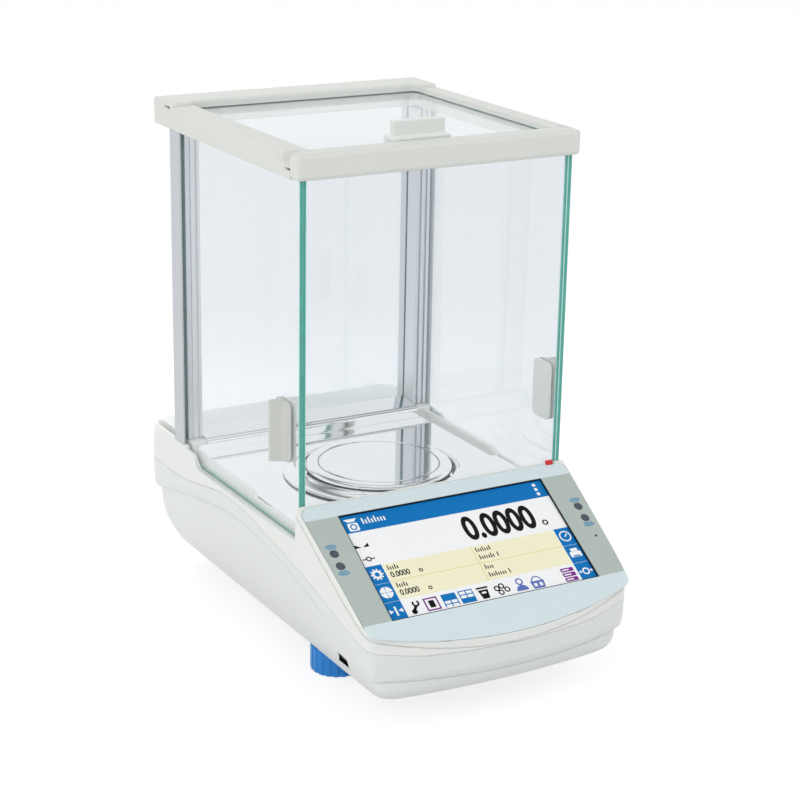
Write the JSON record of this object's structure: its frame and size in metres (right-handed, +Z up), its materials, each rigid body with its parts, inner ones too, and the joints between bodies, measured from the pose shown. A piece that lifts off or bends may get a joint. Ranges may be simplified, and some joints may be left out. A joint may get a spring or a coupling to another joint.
{
  "type": "analytical balance",
  "caption": "Bench balance with a glass draft shield whose side and top panes slide back, a round pan in a draft ring, a tilted touch screen and screw-adjusted front feet.",
  "frame": {"origin": "on the table under the middle of the balance", "axes": "+X to the user's right, +Y to the back, +Z up"},
  "size_m": [0.2184, 0.346, 0.355],
  "materials": {
    "white_plastic": "fine satin moulded ABS, warm white",
    "pale_grey_plastic": "fine satin moulded ABS, slightly greyer",
    "printed_film": "printed overlay film, ice blue",
    "screen_glass": "touch screen",
    "dark_lens": "infra-red window",
    "clear_glass": "clear float glass with green edges",
    "anodised_aluminium": "satin anodised extrusion",
    "cast_aluminium": "as cast",
    "polished_steel": "mirror-polished stainless steel",
    "steel": "plain turned or pressed steel",
    "brass": "turned brass",
    "rubber": "moulded rubber",
    "blue_plastic": "satin moulded plastic, bright blue",
    "red_plastic": "gloss moulded plastic, red",
    "black_plastic": "moulded connector body",
    "circuit_board": "green solder mask"
  },
  "bodies": {
    "base": {"base_tray": "pale_grey_plastic", "top_cover": "white_plastic", "terminal_bezel": "white_plastic", "front_panel": "printed_film", "display_module": "screen_glass", "display_board": "circuit_board", "sensor_lens_left_upper": "dark_lens", "sensor_lens_left_lower": "dark_lens", "sensor_lens_right_upper": "dark_lens", "sensor_lens_right_lower": "dark_lens", "pane_stop": "red_plastic", "rear_column_left": "anodised_aluminium", "rear_column_right": "anodised_aluminium", "door_guide_left": "anodised_aluminium", "door_guide_right": "anodised_aluminium", "top_frame_front": "white_plastic", "top_frame_rear": "white_plastic", "top_rail_left": "white_plastic", "top_rail_right": "white_plastic", "front_glass": "clear_glass", "rear_glass": "clear_glass", "chamber_floor_plate": "polished_steel", "pan_spindle": "steel", "foot_insert_left": "brass", "foot_insert_right": "brass", "rear_foot_left": "rubber", "rear_foot_right": "rubber", "base_plate": "cast_aluminium", "weigh_cell": "anodised_aluminium", "calibration_weight": "brass", "calibration_motor": "steel", "main_board": "circuit_board", "usb_socket_side": "steel", "usb_socket_rear": "steel", "power_inlet": "black_plastic", "network_socket": "black_plastic", "serial_socket": "steel"},
    "left_door": {"left_door_glass": "clear_glass", "left_door_handle": "white_plastic", "left_door_clamp": "white_plastic"},
    "right_door": {"right_door_glass": "clear_glass", "right_door_handle": "white_plastic", "right_door_clamp": "white_plastic"},
    "top_door": {"top_door_glass": "clear_glass", "top_door_handle": "white_plastic"},
    "pan": {"weighing_pan": "polished_steel"},
    "draft_ring": {"draft_ring": "polished_steel"},
    "left_stud": {"leveling_stud_left": "steel"},
    "left_wheel": {"leveling_wheel_left": "blue_plastic"},
    "right_stud": {"leveling_stud_right": "steel"},
    "right_wheel": {"leveling_wheel_right": "blue_plastic"}
  },
  "joints": [
    {"name": "left_door_slide", "type": "slide", "parent": "base", "child": "left_door", "axis": [0, 1, 0], "range_m": [0, 0.138]},
    {"name": "right_door_slide", "type": "slide", "parent": "base", "child": "right_door", "axis": [0, 1, 0], "range_m": [0, 0.138]},
    {"name": "top_door_slide", "type": "slide", "parent": "base", "child": "top_door", "axis": [0, 1, 0], "range_m": [0, 0.145]},
    {"name": "pan_lift", "type": "slide", "parent": "base", "child": "pan", "axis": [0, 0, 1], "range_m": [0, 0.05]},
    {"name": "draft_ring_lift", "type": "slide", "parent": "base", "child": "draft_ring", "axis": [0, 0, 1], "range_m": [0, 0.05]},
    {"name": "left_foot_extend", "type": "slide", "parent": "base", "child": "left_stud", "axis": [0, 0, -1], "range_m": [0, 0.008]},
    {"name": "left_foot_turn", "type": "hinge", "parent": "left_stud", "child": "left_wheel", "pos_m": [-0.0674, -0.061, 0], "axis": [0, 0, 1], "range_deg": [0, 2304]},
    {"name": "right_foot_extend", "type": "slide", "parent": "base", "child": "right_stud", "axis": [0, 0, -1], "range_m": [0, 0.008]},
    {"name": "right_foot_turn", "type": "hinge", "parent": "right_stud", "child": "right_wheel", "pos_m": [0.0674, -0.061, 0], "axis": [0, 0, 1], "range_deg": [0, 2304]}
  ],
  "couplings": [
    {"joint": "left_foot_extend", "follows": "left_foot_turn", "m_per_rad": 0.00019894},
    {"joint": "right_foot_extend", "follows": "right_foot_turn", "m_per_rad": 0.00019894}
  ]
}
